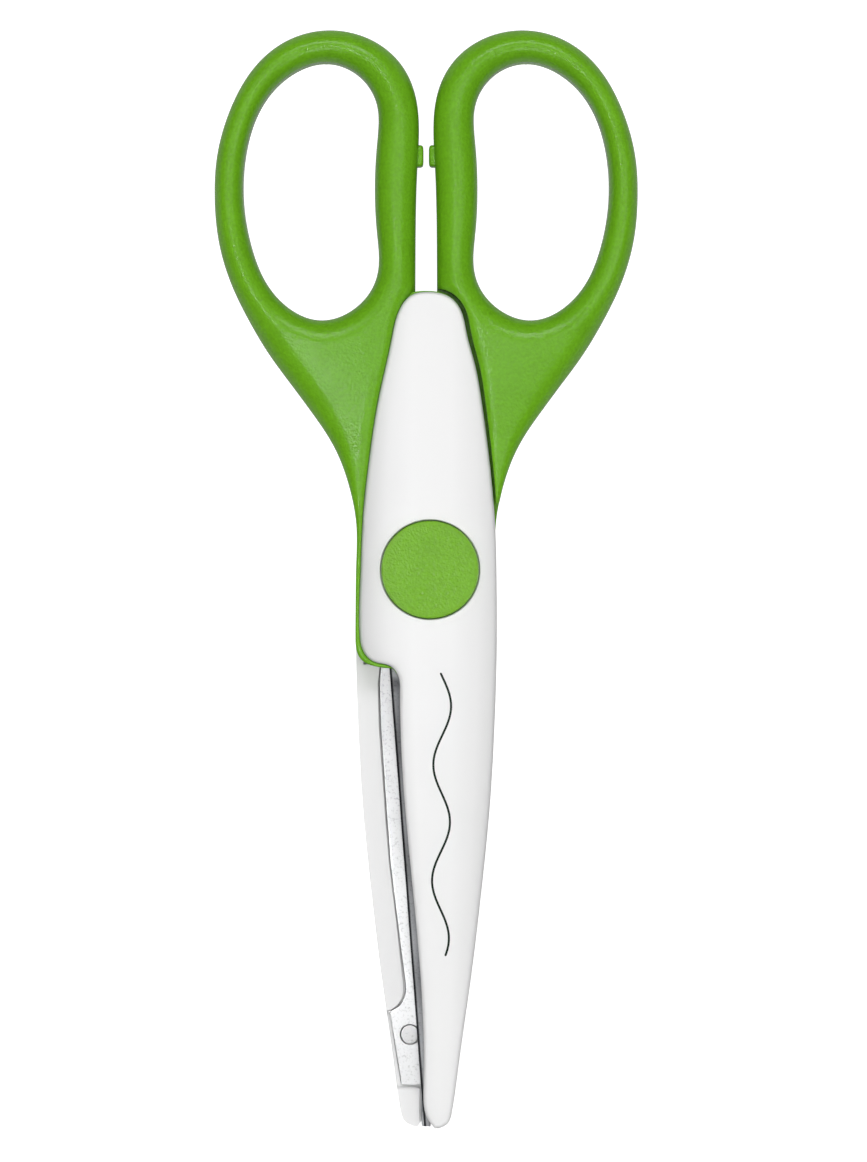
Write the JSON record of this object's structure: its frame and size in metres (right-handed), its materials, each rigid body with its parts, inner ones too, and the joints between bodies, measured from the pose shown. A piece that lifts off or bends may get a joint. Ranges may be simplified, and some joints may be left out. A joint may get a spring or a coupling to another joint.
{
  "type": "decorative edge scissors",
  "caption": "Craft scissors with wavy blades under long crowned covers, a round pivot cap and two large oval finger loops; they cut a wavy edge in paper.",
  "frame": {"origin": "on the pivot's axis, on the outer face of the rear pivot cap", "axes": "+Y from the pivot to the finger loops, -Y to the tips, +Z along the pivot's axis to the front cap, +X to the rear half's loop"},
  "size_m": [0.0636, 0.1647, 0.012],
  "materials": {
    "handle": "fine moulded grain, satin green",
    "pivot_cap": "fine speckled grain, satin green",
    "cover": "smooth satin white",
    "blade": "stamped, ground and polished stainless",
    "stud": "satin rivet",
    "hardware": "plain zinc plated",
    "nylon": "plain"
  },
  "bodies": {
    "rear_half": {"rear_handle": "handle", "rear_cover": "cover", "rear_blade": "blade", "rear_tip_stud": "stud", "rear_root_stud_1": "stud", "rear_root_stud_2": "stud", "rear_pivot_cap": "pivot_cap", "pivot_screw": "hardware", "pivot_nut": "hardware", "pivot_sleeve": "hardware", "spring_washer": "hardware", "friction_washer": "nylon"},
    "front_half": {"front_handle": "handle", "front_cover": "cover", "front_blade": "blade", "front_tip_stud": "stud", "front_root_stud_1": "stud", "front_root_stud_2": "stud", "front_pivot_cap": "pivot_cap", "head_washer": "hardware"}
  },
  "joints": [
    {"name": "pivot", "type": "hinge", "parent": "rear_half", "child": "front_half", "pos_m": [0, 0, 0.006], "axis": [0, 0, 1], "range_deg": [-0.7, 75]}
  ]
}
